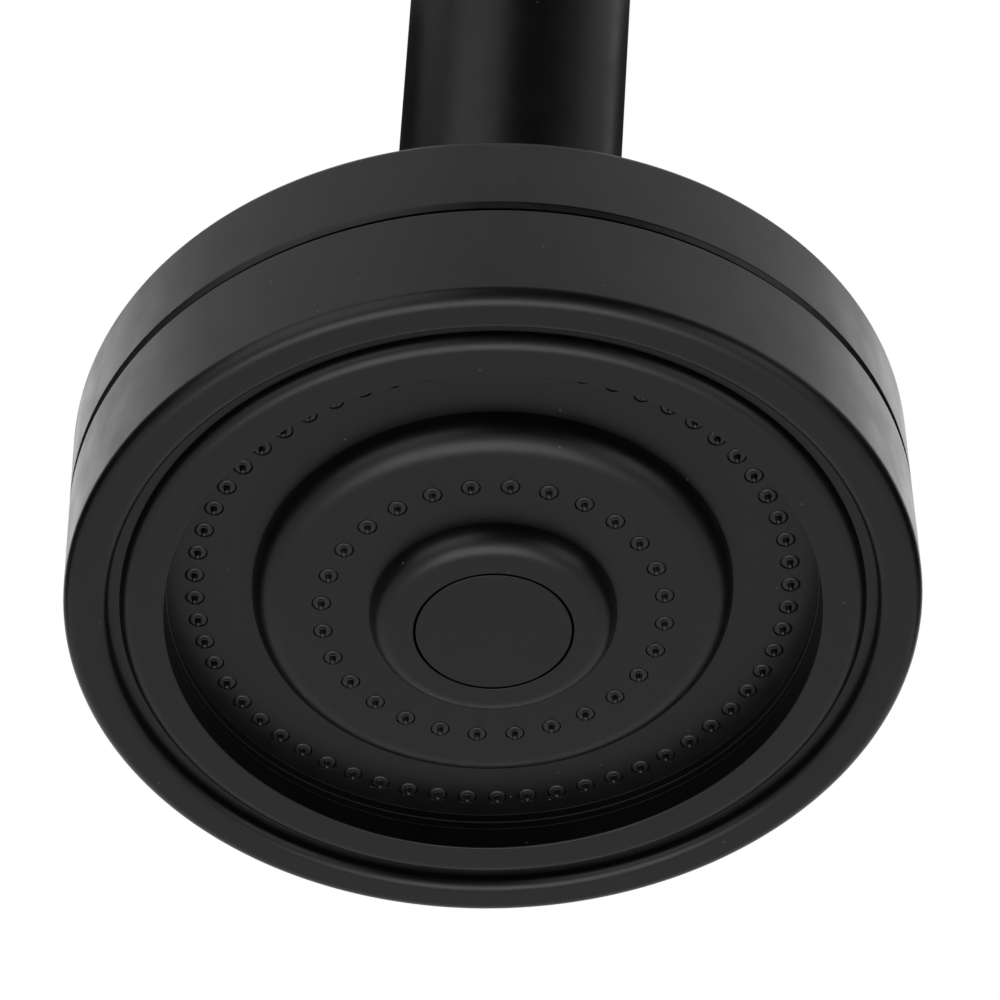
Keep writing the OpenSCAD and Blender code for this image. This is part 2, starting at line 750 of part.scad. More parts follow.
// Straight tube of the arm
module arm_tube() {
    color("#202020") band(tube_inner_r, arm_r, tube_bottom_z, tube_top_z);
}

// Plug in the arm's upper end with the threaded inlet
module inlet_end() {
    bore_r = washer_r + fit;
    seat_z = strainer_z;
    land_r = limiter_r - 1.5;
    color("#c8a860") turned([
        [inlet_r, 0], [arm_r, 0], [arm_r, tube_top_z], [plug_r, tube_top_z], [plug_r, inlet_plug_z],
        [land_r, inlet_plug_z], [land_r, limiter_z], [limiter_r + fit, limiter_z],
        [limiter_r + fit, seat_z], [bore_r, seat_z], [bore_r, -inlet_l], [inlet_r, -inlet_l]]);
}

// Insert that limits the flow
module flow_limiter() {
    wall = 1.2;
    cup_h = 3;
    hole_count = 8;
    hole_d = 1.2;
    hole_circle_r = limiter_r - wall - hole_d;
    color("#e8e8e8") difference() {
        translate([0, 0, limiter_z]) cylinder(r = limiter_r, h = limiter_l);
        translate([0, 0, strainer_z - cup_h]) cylinder(r = limiter_r - wall, h = cup_h + 1);
        around(hole_count, hole_circle_r) translate([0, 0, limiter_z - 1])
            cylinder(d = hole_d, h = limiter_l, $fn = 24);
    }
}

// Sieve over the flow limiter
module strainer() {
    rings = 3;
    pitch = 1.6;
    hole_d = 0.9;
    color("silver") difference() {
        translate([0, 0, strainer_z]) cylinder(r = washer_r, h = strainer_h);
        for (ring = [1:rings]) around(6 * ring, ring * pitch)
            translate([0, 0, strainer_z - 1]) cylinder(d = hole_d, h = strainer_h + 2, $fn = 16);
    }
}

// Rubber washer at the bottom of the inlet
module inlet_washer() {
    washer_w = 2.2;
    color("#101010") band(washer_r - washer_w, washer_r, strainer_z + strainer_h, -inlet_l);
}

// Plate that is screwed to the ceiling, with the collar that clamps the arm
module ceiling_plate() {
    hole_r = plate_hole_r;
    color("#c0c0c0") difference() {
        turned([[hole_r, 0], [plate_edge_r, 0], [plate_edge_r, -plate_h], [collar_r, -plate_h],
                [collar_r, -plate_h - collar_h], [hole_r, -plate_h - collar_h]]);
        around(plate_hole_count, screw_circle_r, 90) translate([0, 0, -plate_h - 1])
            cylinder(d = screw_hole_d, h = plate_h + 2);
        around(clamp_count, 0, clamp_start) translate([0, 0, clamp_z]) rotate([0, 90, 0])
            cylinder(d = clamp_screw_d + 2 * fit, h = collar_r + 1);
    }
}

// Screws that clamp the arm
module clamp_screws() {
    length = collar_r - arm_r - fit;
    key_d = clamp_screw_d * 0.5;
    color("#404040") around(clamp_count, 0, clamp_start)
        translate([arm_r + fit, 0, clamp_z]) rotate([0, 90, 0]) difference() {
            cylinder(d = clamp_screw_d, h = length, $fn = 24);
            translate([0, 0, length / 2]) cylinder(d = key_d, h = length, $fn = 6);
        }
}

// Ring that holds the rose up on the arm
module rose_seal() {
    color("#101010") o_ring(arm_r + fit + rose_seal_d / 2, rose_seal_d, rose_seal_z);
}

// Face of the rose, with the hub that grips the seal
module rose_face() {
    z0 = -rose_h;
    hub_z = z0 + rose_hub_h;
    groove_r = arm_r + rose_seal_d + 2 * fit;
    cut_h = rose_seal_d / 2 + fit;
    color("#202020") turned([
        [rose_bore_r, z0], [rose_bore_wall_r - fit, z0], [rose_bore_wall_r - fit, z0 + rose_wall],
        [rose_hub_r, z0 + rose_wall], [rose_hub_r, hub_z], [rose_bore_r, hub_z],
        [rose_bore_r, rose_seal_z + cut_h], [groove_r, rose_seal_z + cut_h],
        [groove_r, rose_seal_z - cut_h], [rose_bore_r, rose_seal_z - cut_h]]);
}

// Ring of the rose round the ceiling plate
module cover_rose() {
    z0 = -rose_h;
    color("#202020") turned(concat(
        [[rose_bore_wall_r, z0]],
        corner(rose_r - rose_round, z0 + rose_round, rose_round, -90, 0),
        [[rose_r, 0], [rose_bore_wall_r, 0]]));
}

front_shell();
rear_shell();
groove_ring();
face_ring();
spray_plate();
spray_disc();
outer_nozzles();
inner_nozzles();
boss();
push_button();
button_spring();
button_guide();
stem_seal();
valve_stem();
valve_washer();
flow_plate();
cover_gasket();
water_cover();
cover_screws();
ball_socket();
lower_seat();
upper_seat();
collar_nut();
ball_stem();
journal_seal();
retaining_ring();
arm_end();
arm_tube();
inlet_end();
flow_limiter();
strainer();
inlet_washer();
ceiling_plate();
clamp_screws();
rose_seal();
rose_face();
cover_rose();
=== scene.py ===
import json
import math

import bmesh
import bpy
from bpy.props import FloatProperty, FloatVectorProperty, IntProperty, PointerProperty
from bpy.types import Operator, Panel, PropertyGroup
from mathutils import Matrix, Vector


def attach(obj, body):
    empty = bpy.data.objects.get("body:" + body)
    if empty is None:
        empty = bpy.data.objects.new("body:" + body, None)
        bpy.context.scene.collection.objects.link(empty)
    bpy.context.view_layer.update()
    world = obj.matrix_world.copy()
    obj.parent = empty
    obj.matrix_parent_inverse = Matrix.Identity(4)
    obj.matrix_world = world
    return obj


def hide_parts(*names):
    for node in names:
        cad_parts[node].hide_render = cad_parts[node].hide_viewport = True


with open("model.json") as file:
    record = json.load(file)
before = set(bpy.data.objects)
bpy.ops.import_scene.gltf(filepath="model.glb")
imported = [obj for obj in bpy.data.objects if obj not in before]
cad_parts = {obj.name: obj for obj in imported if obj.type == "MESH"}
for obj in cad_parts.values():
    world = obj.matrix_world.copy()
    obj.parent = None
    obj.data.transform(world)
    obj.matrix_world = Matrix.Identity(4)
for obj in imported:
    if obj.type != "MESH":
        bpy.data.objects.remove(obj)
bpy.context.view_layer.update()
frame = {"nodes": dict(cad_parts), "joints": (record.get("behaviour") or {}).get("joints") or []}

bl_info = {
    "name": "Ceiling shower set",
    "version": (1, 0, 0),
    "blender": (4, 5, 0),
    "location": "3D View > Sidebar > Shower",
    "description": "Turned black head with rubber nozzles on a ball joint and a ceiling arm",
    "category": "Object",
}

NODES = frame["nodes"]

MM_PER_METRE = 1000.0

# Lengths in metres
MM = 0.001
TINY = 1e-7
FIT = 0.05 * MM
SAME_PLACE = 0.001 * MM
MERGE_GAP = 0.0005 * MM
WELD_GAP = 0.002 * MM

# Steps round a turned piece and along a rounded edge
ROUND_STEPS = 256
MAT_STEPS = 96
SMALL_STEPS = 32
EDGE_STEPS_PER_MM = 8
FEWEST_EDGE_STEPS = 3
MOST_EDGE_STEPS = 12
SMOOTH_ANGLE = math.radians(32)


def size(name, millimetres, words):
    """A length that a user would change, in metres."""
    return FloatProperty(name=name, description=words, default=millimetres * MM, unit="LENGTH", precision=5)


def share(name, value, words):
    """A number from nought to one."""
    return FloatProperty(name=name, description=words, default=value, min=0.0, max=1.0, subtype="FACTOR")


def colour(name, value, words):
    """A linear colour."""
    return FloatVectorProperty(name=name, description=words, default=value, size=3, min=0, max=1,
                               subtype="COLOR")


def strength(name, value, words):
    """The strength or radiance of a light."""
    return FloatProperty(name=name, description=words, default=value, min=0)


def angle(name, degrees, words):
    """An angle, given in degrees."""
    return FloatProperty(name=name, description=words, default=math.radians(degrees), subtype="ANGLE")


# Sizes

class HeadSizes(PropertyGroup):
    """Radii and heights of the head, from the flat of the spray disc."""
    head_r: size("Head radius", 55, "Outer radius of the head")
    shell_inner_r: size("Shell bore", 52.8, "Inner radius of the outer shells")
    seam_z: size("Seam height", 14.84, "Height of the seam between the shells")
    seam_gap: size("Seam gap", 0.55, "Open line between the shells")
    reveal_w: size("Bevel width", 0.55, "Width of the rear shell's bevel along the seam")
    reveal_h: size("Bevel height", 0.57, "Height of the rear shell's bevel along the seam")
    front_reveal: size("Front bevel", 0.5, "Bevel of the front shell along the seam")
    back_z: size("Back height", 28.4, "Height of the back face")
    back_wall: size("Back wall", 2.5, "Thickness of the back wall")
    back_round: size("Back edge", 1.2, "Rounding of the back edge")
    rim_drop: size("Rim drop", 1.9, "How far the rim stands in front")
    rim_inner_r: size("Rim bore", 49.3, "Inner radius of the rim")
    rim_outer_round: size("Rim outer edge", 1.9, "Rounding of the rim's outer edge")
    rim_inner_round: size("Rim inner edge", 1.45, "Rounding of the rim's inner edge")
    groove_ring_h: size("Groove ring", 1.8, "Thickness of the ring in the groove")
    face_ring_r: size("Face ring radius", 47.8, "Outer radius of the face ring")
    face_ring_drop: size("Face ring drop", 1.7, "How far the face ring stands in front")
    face_ring_round: size("Face ring edge", 2, "Rounding of the face ring's edge")
    recess_r: size("Recess radius", 42.1, "Radius of the recess wall")
    recess_h: size("Recess depth", 4.14, "Depth of the recess floor")
    floor_h: size("Floor thickness", 2.4, "Thickness of the recess floor")
    lip_w: size("Lip width", 0.25, "Width of the lip on the recess wall")
    lip_h: size("Lip height", 1.3, "Height of the lip on the recess wall")
    plate_r: size("Plate radius", 52.55, "Outer radius of the spray plate")
    disc_r: size("Disc radius", 31, "Radius of the spray disc")
    disc_round: size("Disc edge", 4, "Rounding of the spray disc's edge")
    disc_h: size("Disc thickness", 2.2, "Thickness of the spray disc")
    skirt_r: size("Skirt radius", 28.4, "Outer radius of the disc's skirt")
    skirt_inner_r: size("Skirt bore", 26.6, "Inner radius of the disc's skirt")
    boss_r: size("Boss radius", 15.9, "Radius of the boss")
    boss_h: size("Boss height", 3.4, "Height of the boss")
    boss_round: size("Boss edge", 3.1, "Rounding of the boss's edge")
    boss_skirt_r: size("Boss skirt", 12.0, "Outer radius of the boss's skirt")
    button_r: size("Button radius", 10, "Radius of the button")
    button_gap: size("Button gap", 0.3, "Open line round the button")
    button_h: size("Button thickness", 2.2, "Thickness of the button's top")
    hub_r: size("Button hub", 3.2, "Radius of the hub under the button")
    hub_h: size("Hub height", 3.4, "Height of the hub under the button")
    stem_hole_r: size("Stem hole", 2.05, "Radius of the hole in the hub")
    ball_z: size("Ball height", 28.44, "Height of the ball's centre")
    turn: angle("Turn", 12.8, "Turn of the head on its own axis")


class NozzleSizes(PropertyGroup):
    """The two rings of nozzles."""
    outer_count: IntProperty(name="Outer count", description="Nozzles in the outer ring", default=60, min=3)
    outer_ring_r: size("Outer ring", 38.4, "Radius of the outer ring")
    inner_count: IntProperty(name="Inner count", description="Nozzles in the inner ring", default=28, min=3)
    inner_ring_r: size("Inner ring", 22.1, "Radius of the inner ring")
    dimple_r: size("Dimple radius", 1.28, "Radius of the dimple round a nozzle")
    dimple_h: size("Dimple depth", 0.1, "Depth of the dimple")
    hole_r: size("Hole radius", 1.21, "Radius of the hole under the dimple")
    foot_r: size("Nozzle foot", 1.14, "Radius of a nozzle's foot in its hole")
    foot_round: size("Foot edge", 0.12, "Rounding of a nozzle's foot")
    pin_r: size("Pin root", 0.45, "Radius of a nozzle's pin at its root")
    tip_r: size("Nozzle tip", 0.33, "Radius of a nozzle's tip")
    proud: size("Nozzle height", 1.0, "How far a nozzle stands in front")
    mat_h: size("Mat thickness", 1.0, "Thickness of the rubber mats")


class ArmSizes(PropertyGroup):
    """The arm, its ball and its ceiling rose."""
    tube_r: size("Tube radius", 15.25, "Outer radius of the arm")
    tube_wall: size("Tube wall", 2, "Wall of the arm")
    end_h: size("End ring", 3, "Height of the plain ring at each end")
    end_lift: size("End lift", 18, "Height of the arm's lower end above the ball")
    end_round: size("End edge", 1.2, "Rounding of the arm's lower edge")
    rose_r: size("Rose radius", 33, "Outer radius of the rose")
    rose_h: size("Rose height", 16, "Height of the rose")
    rose_wall: size("Rose wall", 1.5, "Wall of the rose")
    rose_round: size("Rose edge", 1.2, "Rounding of the rose's lower edge")


class FinishSettings(PropertyGroup):
    """Colours and gloss."""
    paint: colour("Paint", (0.0009, 0.0009, 0.001), "Colour of the satin paint")
    paint_rough: share("Paint roughness", 0.36, "Roughness of the satin paint")
    paint_shine: share("Paint shine", 0.283, "Specular level of the satin paint")
    rubber: colour("Rubber", (0.003, 0.003, 0.0031), "Colour of the nozzles")
    seal: colour("Seals", (0.008, 0.008, 0.008), "Colour of the seals")
    brass: colour("Brass", (0.62, 0.44, 0.19), "Colour of the turned brass")
    steel: colour("Steel", (0.56, 0.56, 0.57), "Colour of the steel")
    plating: colour("Plating", (0.72, 0.72, 0.74), "Colour of the plated ball")
    inner_plastic: colour("Inner plastic", (0.09, 0.09, 0.095), "Colour of the inner mouldings")
    bearing_plastic: colour("Bearing plastic", (0.74, 0.71, 0.62), "Colour of the seat rings")
    limiter_plastic: colour("Limiter plastic", (0.72, 0.74, 0.76), "Colour of the flow limiter")


class StageSettings(PropertyGroup):
    """Camera, lamps, cards and floor."""
    lens: FloatProperty(name="Lens", description="Focal length in millimetres", default=173.905,
                        unit="CAMERA")
    camera_place: FloatVectorProperty(name="Camera place", description="Where the camera stands", size=3,
                                      default=(-0.095634, -0.559716, -0.445699), subtype="TRANSLATION")
    camera_turn: FloatVectorProperty(name="Camera turn", description="How the camera is turned", size=3,
                                     default=(math.radians(117.1392), math.radians(-3.2854),
                                              math.radians(-11.5423)),
                                     subtype="EULER")
    floor_z: size("Floor height", -1250, "Height of the floor")
    fill: strength("Fill", 0.55, "Strength of the surroundings")
    low_panel: strength("Low panel", 3.25, "Radiance of the panel below in front")
    left_panel: strength("Left panel", 1.9, "Radiance of the panel on the left")
    right_panel: strength("Right panel", 0.3, "Radiance of the panel on the right")
    right_low_panel: strength("Lower right panel", 1.7, "Radiance of the panel low on the right")
    side_panels: strength("Side panels", 0.85, "Radiance of the two panels beside and behind")
    cards_r: size("Cards' distance", 1600, "Distance of the black cards")
    cards_low: size("Cards' foot", -740, "Lower edge of the black cards")
    cards_high: size("Cards' top", 740, "Upper edge of the black cards")
    cards_side_high: size("Side cards' top", 950, "Upper edge of the cards beside the object")
    cards_front_high: size("Front cards' top", 1440, "Upper edge of the cards in front")
    cards_middle_high: size("Middle card's top", 2600, "Upper edge of the card straight in front")
    cards_gap: angle("Cards' opening", 80, "Open angle behind the object")
    flag_r: size("Flag distance", 120, "Distance of the dark flag round the arm's back")
    flag_low: size("Flag foot", -62, "Lower edge of the flag")
    flag_high: size("Flag top", 8, "Upper edge of the flag")


# The settings as the scene holds them

def head():
    return bpy.context.scene.shower_head


def nozzles():
    return bpy.context.scene.shower_nozzles


def arm():
    return bpy.context.scene.shower_arm


def finishes():
    return bpy.context.scene.shower_finish


def stage_settings():
    return bpy.context.scene.shower_stage


# Places

def joint(name):
    return next(found for found in frame["joints"] if found["name"] == name)


def ball_centre():
    return Vector(joint("head_turn")["pos_m"])


def head_frame():
    """The head's own frame: +Z to its back, with the flat of the spray disc at z = 0."""
    axis = Vector(joint("head_turn")["axis"])
    tilt = math.atan2(axis.y, axis.z)
    return (Matrix.Translation(ball_centre()) @ Matrix.Rotation(-tilt, 4, "X")
            @ Matrix.Rotation(-head().turn, 4, "Z") @ Matrix.Translation((0, 0, -head().ball_z)))


def arm_frame():
    return Matrix.Identity(4)


# Modelling steps

def mode(name):
    bpy.ops.object.mode_set(mode=name)


def only(obj):
    """Selects one object and nothing else."""
    bpy.ops.object.select_all(action="DESELECT")
    obj.select_set(True)
    bpy.context.view_layer.objects.active = obj


def pick_vertices(obj, test):
    """In edit mode, selects the vertices that pass a test of their place."""
    bpy.ops.mesh.select_mode(type="VERT")
    bpy.ops.mesh.select_all(action="DESELECT")
    mesh = bmesh.from_edit_mesh(obj.data)
    for vertex in mesh.verts:
        vertex.select = test(vertex.co)
    mesh.select_flush_mode()
    bmesh.update_edit_mesh(obj.data)


def near(place):
    """A test that picks the vertex at one place."""
    return lambda co: (co - place).length < SAME_PLACE


def draw_section(name, corners):
    """The half section of a turned piece: one vertex drawn from corner to corner, then each corner rounded.

    corners holds (radius, height, rounding) in metres.
    """
    bpy.ops.object.select_all(action="DESELECT")
    bpy.ops.mesh.primitive_plane_add(size=MM)
    obj = bpy.context.object
    obj.name = name
    obj.data.name = name
    mode("EDIT")
    bpy.ops.mesh.select_mode(type="VERT")
    bpy.ops.mesh.select_all(action="SELECT")
    bpy.ops.mesh.merge(type="CENTER")
    bpy.ops.transform.translate(value=(corners[0][0], 0, corners[0][1]))
    for before, after in zip(corners, corners[1:]):
        step = (after[0] - before[0], 0, after[1] - before[1])
        bpy.ops.mesh.extrude_region_move(TRANSFORM_OT_translate={"value": step})
    first, last = (Vector((corner[0], 0, corner[1])) for corner in (corners[0], corners[-1]))
    if first.x > TINY or last.x > TINY:
        pick_vertices(obj, lambda co: near(first)(co) or near(last)(co))
        bpy.ops.mesh.edge_face_add()
    for radius, height, rounding in corners:
        if rounding > 0:
            pick_vertices(obj, near(Vector((radius, 0, height))))
            wanted = round(rounding / MM * EDGE_STEPS_PER_MM)
            segments = max(FEWEST_EDGE_STEPS, min(MOST_EDGE_STEPS, wanted))
            bpy.ops.mesh.bevel(offset=rounding, segments=segments, affect="VERTICES", clamp_overlap=False)
    mode("OBJECT")
    return obj


def spin_section(obj, steps):
    """Turns a half section round the Z axis into a closed piece."""
    only(obj)
    mode("EDIT")
    bpy.ops.mesh.select_all(action="SELECT")
    bpy.ops.mesh.spin(steps=steps, angle=2 * math.pi, center=(0, 0, 0), axis=(0, 0, 1))
    bpy.ops.mesh.select_all(action="SELECT")
    bpy.ops.mesh.remove_doubles(threshold=MERGE_GAP)
    bpy.ops.mesh.normals_make_consistent(inside=False)
    mode("OBJECT")
    return obj


def turned(name, corners, steps=ROUND_STEPS):
    """A turned piece with the given half section."""
    return spin_section(draw_section(name, corners), steps)


def joined(name, pieces):
    """Joins pieces into the first of them."""
    bpy.ops.object.select_all(action="DESELECT")
    for piece in pieces:
        piece.select_set(True)
    first = pieces[0]
    bpy.context.view_layer.objects.active = first
    bpy.ops.object.join()
    first.name = name
    first.data.name = name
    return first


def copies_round(obj, count, radius, start):
    """Copies of a small piece round the Z axis, joined into one."""
    name = obj.name
    copies = []
    for i in range(count):
        turn = start + 2 * math.pi * i / count
        copy = obj.copy()
        copy.data = obj.data.copy()
        bpy.context.collection.objects.link(copy)
        copy.matrix_world = Matrix.Rotation(turn, 4, "Z") @ Matrix.Translation((radius, 0, 0))
        copies.append(copy)
    bpy.data.objects.remove(obj)
    ring = joined(name, copies)
    bpy.ops.object.transform_apply(location=True, rotation=True, scale=True)
    return ring


def cut_out(obj, cutter):
    """Cuts the cutter out of a piece and removes the cutter."""
    only(obj)
    cut = obj.modifiers.new("Cut", "BOOLEAN")
    cut.operation = "DIFFERENCE"
    cut.solver = "EXACT"
    cut.object = cutter
    bpy.ops.object.modifier_apply(modifier=cut.name)
    bpy.data.objects.remove(cutter)


def finish_piece(obj, place, material, body, *replaced):
    """Puts a piece in its place, smooths it, paints it, ties it to its body and hides the CAD nodes it
    replaces.
    """
    only(obj)
    obj.matrix_world = place
    bpy.ops.object.transform_apply(location=True, rotation=True, scale=True)
    bpy.ops.object.shade_smooth_by_angle(angle=SMOOTH_ANGLE)
    even = obj.modifiers.new("Even normals", "WEIGHTED_NORMAL")
    even.mode = "FACE_AREA"
    even.weight = 100
    even.keep_sharp = True
    bpy.ops.object.modifier_apply(modifier=even.name)
    obj.data.materials.clear()
    obj.data.materials.append(material)
    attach(obj, body)
    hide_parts(*replaced)


# Materials

def float_sockets(tree, in_out, names):
    """Sockets of a node group for plain numbers."""
    for name in names:
        tree.interface.new_socket(name=name, in_out=in_out, socket_type="NodeSocketFloat")


def node(tree, kind, place, **values):
    """A shader node with the given attributes."""
    made = tree.nodes.new(kind)
    made.location = place
    for key, value in values.items():
        setattr(made, key, value)
    return made


def fine_grain_group():
    """Fine orange peel and tiny nibs of sprayed paint, in the object's own coordinates."""
    if "Fine grain" in bpy.data.node_groups:
        return bpy.data.node_groups["Fine grain"]
    tree = bpy.data.node_groups.new("Fine grain", "ShaderNodeTree")
    float_sockets(tree, "INPUT", ("Grain size", "Wave size", "Wave share"))
    float_sockets(tree, "OUTPUT", ("Height", "Mottle"))
    into = node(tree, "NodeGroupInput", (-900, 0))
    out = node(tree, "NodeGroupOutput", (600, 0))
    place = node(tree, "ShaderNodeTexCoord", (-900, -300))
    grain_scale = node(tree, "ShaderNodeMath", (-700, 150), operation="DIVIDE")
    grain_scale.inputs[0].default_value = MM_PER_METRE
    wave_scale = node(tree, "ShaderNodeMath", (-700, -50), operation="DIVIDE")
    wave_scale.inputs[0].default_value = MM_PER_METRE
    grain = node(tree, "ShaderNodeTexNoise", (-450, 200))
    grain.inputs["Detail"].default_value = 3.0
    grain.inputs["Roughness"].default_value = 0.6
    wave = node(tree, "ShaderNodeTexNoise", (-450, -100))
    wave.inputs["Detail"].default_value = 2.0
    mix = node(tree, "ShaderNodeMix", (-100, 100), data_type="FLOAT")
    tree.links.new(into.outputs["Grain size"], grain_scale.inputs[1])
    tree.links.new(into.outputs["Wave size"], wave_scale.inputs[1])
    for noise, scale in ((grain, grain_scale), (wave, wave_scale)):
        tree.links.new(place.outputs["Object"], noise.inputs["Vector"])
        tree.links.new(scale.outputs[0], noise.inputs["Scale"])
    tree.links.new(into.outputs["Wave share"], mix.inputs["Factor"])
    tree.links.new(grain.outputs["Fac"], mix.inputs["A"])
    tree.links.new(wave.outputs["Fac"], mix.inputs["B"])
    tree.links.new(mix.outputs["Result"], out.inputs["Height"])
    tree.links.new(wave.outputs["Fac"], out.inputs["Mottle"])
    return tree


def dust_group():
    """A mask of sparse dust specks."""
    if "Dust specks" in bpy.data.node_groups:
        return bpy.data.node_groups["Dust specks"]
    tree = bpy.data.node_groups.new("Dust specks", "ShaderNodeTree")
    float_sockets(tree, "INPUT", ("Spacing", "Speck share", "Rarity"))
    float_sockets(tree, "OUTPUT", ("Mask",))
    into = node(tree, "NodeGroupInput", (-900, 0))
    out = node(tree, "NodeGroupOutput", (700, 0))
    place = node(tree, "ShaderNodeTexCoord", (-900, -300))
    scale = node(tree, "ShaderNodeMath", (-700, 100), operation="DIVIDE")
    scale.inputs[0].default_value = MM_PER_METRE
    cells = node(tree, "ShaderNodeTexVoronoi", (-450, 100))
    close = node(tree, "ShaderNodeMath", (-200, 150), operation="LESS_THAN")
    split = node(tree, "ShaderNodeSeparateColor", (-200, -100))
    rare = node(tree, "ShaderNodeMath", (0, -100), operation="GREATER_THAN")
    both = node(tree, "ShaderNodeMath", (250, 50), operation="MULTIPLY")
    tree.links.new(into.outputs["Spacing"], scale.inputs[1])
    tree.links.new(place.outputs["Object"], cells.inputs["Vector"])
    tree.links.new(scale.outputs[0], cells.inputs["Scale"])
    tree.links.new(cells.outputs["Distance"], close.inputs[0])
    tree.links.new(into.outputs["Speck share"], close.inputs[1])
    tree.links.new(cells.outputs["Color"], split.inputs["Color"])
    tree.links.new(split.outputs["Red"], rare.inputs[0])
    tree.links.new(into.outputs["Rarity"], rare.inputs[1])
    tree.links.new(close.outputs[0], both.inputs[0])
    tree.links.new(rare.outputs[0], both.inputs[1])
    tree.links.new(both.outputs[0], out.inputs["Mask"])
    return tree


def group_node(tree, group, place, **values):
    """A node of a group, with its inputs set by their names in small letters."""
    made = node(tree, "ShaderNodeGroup", place)
    made.node_tree = group
    for key, value in values.items():
        made.inputs[key.replace("_", " ").capitalize()].default_value = value
    return made


def new_material(name, base, roughness, metallic=0.0, shine=0.5):
    """A plain material, with its node tree and its main shader."""
    material = bpy.data.materials.new(name)
    material.use_nodes = True
    shader = material.node_tree.nodes["Principled BSDF"]
    shader.inputs["Base Color"].default_value = (*base, 1)
    shader.inputs["Roughness"].default_value = roughness
    shader.inputs["Metallic"].default_value = metallic
    shader.inputs["Specular IOR Level"].default_value = shine
    return material, material.node_tree, shader


def add_grain(tree, shader, depth, grain_size, wave_size, wave_share, rough_low, rough_high):
    """Bump and a slight change of gloss from the fine grain."""
    grain = group_node(tree, fine_grain_group(), (-900, 0), grain_size=grain_size, wave_size=wave_size,
                       wave_share=wave_share)
    bump = node(tree, "ShaderNodeBump", (-300, -300))
    bump.inputs["Strength"].default_value = 1.0
    bump.inputs["Distance"].default_value = depth * MM
    rough = node(tree, "ShaderNodeMapRange", (-600, 100))
    rough.inputs["From Min"].default_value = 0.3
    rough.inputs["From Max"].default_value = 0.7
    rough.inputs["To Min"].default_value = rough_low
    rough.inputs["To Max"].default_value = rough_high
    tree.links.new(grain.outputs["Height"], bump.inputs["Height"])
    tree.links.new(grain.outputs["Mottle"], rough.inputs["Value"])
    tree.links.new(rough.outputs["Result"], shader.inputs["Roughness"])
    tree.links.new(bump.outputs["Normal"], shader.inputs["Normal"])


def add_dust(tree, shader, base, dust, spacing, rarity, speck_share):
    """Pale dust specks over the base colour."""
    specks = group_node(tree, dust_group(), (-900, 500), spacing=spacing, speck_share=speck_share,
                        rarity=rarity)
    mix = node(tree, "ShaderNodeMix", (-300, 400), data_type="RGBA")
    mix.inputs["A"].default_value = (*base, 1)
    mix.inputs["B"].default_value = (*dust, 1)
    tree.links.new(specks.outputs["Mask"], mix.inputs["Factor"])
    tree.links.new(mix.outputs["Result"], shader.inputs["Base Color"])


def paint_material(name):
    look = finishes()
    material, tree, shader = new_material(name, look.paint, look.paint_rough, shine=look.paint_shine)
    add_grain(tree, shader, depth=0.004, grain_size=0.35, wave_size=5.0, wave_share=0.3,
              rough_low=look.paint_rough - 0.03, rough_high=look.paint_rough + 0.03)
    add_dust(tree, shader, look.paint, dust=(0.09, 0.09, 0.09), spacing=2.6, rarity=0.62, speck_share=0.042)
    return material


def rubber_material(name):
    material, tree, shader = new_material(name, finishes().rubber, roughness=0.38, shine=0.34)
    add_grain(tree, shader, depth=0.003, grain_size=0.2, wave_size=2.0, wave_share=0.3,
              rough_low=0.34, rough_high=0.42)
    return material


def seal_material(name):
    material, tree, shader = new_material(name, finishes().seal, roughness=0.6, shine=0.35)
    add_grain(tree, shader, depth=0.004, grain_size=0.3, wave_size=2.0, wave_share=0.4,
              rough_low=0.54, rough_high=0.68)
    return material


def plastic_material(name, base, roughness):
    material, tree, shader = new_material(name, base, roughness, shine=0.45)
    add_grain(tree, shader, depth=0.006, grain_size=0.5, wave_size=6.0, wave_share=0.5,
              rough_low=roughness - 0.05, rough_high=roughness + 0.06)
    return material


def metal_material(name, base, roughness, grain_size):
    """Turned or drawn metal with fine tool marks."""
    material, tree, shader = new_material(name, base, roughness, metallic=1.0)
    add_grain(tree, shader, depth=0.001, grain_size=grain_size, wave_size=8.0, wave_share=0.5,
              rough_low=roughness - 0.05, rough_high=roughness + 0.07)
    return material


def made_once(name, maker, **values):
    """The material of that name, made when it is first asked for."""
    return bpy.data.materials.get(name) or maker(name, **values)


def paint():
    return made_once("Satin black paint", paint_material)


def rubber():
    return made_once("Nozzle rubber", rubber_material)


def seal():
    return made_once("Seal rubber", seal_material)


def brass():
    return made_once("Turned brass", metal_material, base=finishes().brass, roughness=0.3,
                     grain_size=0.25)


def steel():
    return made_once("Bright steel", metal_material, base=finishes().steel, roughness=0.28,
                     grain_size=0.2)


def plating():
    return made_once("Bright plating", metal_material, base=finishes().plating, roughness=0.12,
                     grain_size=0.6)


def inner_plastic():
    return made_once("Inner plastic", plastic_material, base=finishes().inner_plastic, roughness=0.45)


def bearing_plastic():
    return made_once("Bearing plastic", plastic_material, base=finishes().bearing_plastic, roughness=0.35)


def limiter_plastic():
    return made_once("Limiter plastic", plastic_material, base=finishes().limiter_plastic, roughness=0.4)


def finish_nodes(material, names):
    """Gives CAD nodes their material and even shading, with no change to their meshes."""
    for name in names:
        obj = NODES[name]
        obj.data.materials.clear()
        obj.data.materials.append(material)
        for face in obj.data.polygons:
            face.use_smooth = True
        weld = obj.modifiers.new("Weld", "WELD")
        weld.merge_threshold = WELD_GAP
        split = obj.modifiers.new("Sharp edges", "EDGE_SPLIT")
        split.split_angle = SMOOTH_ANGLE


# The head's pieces

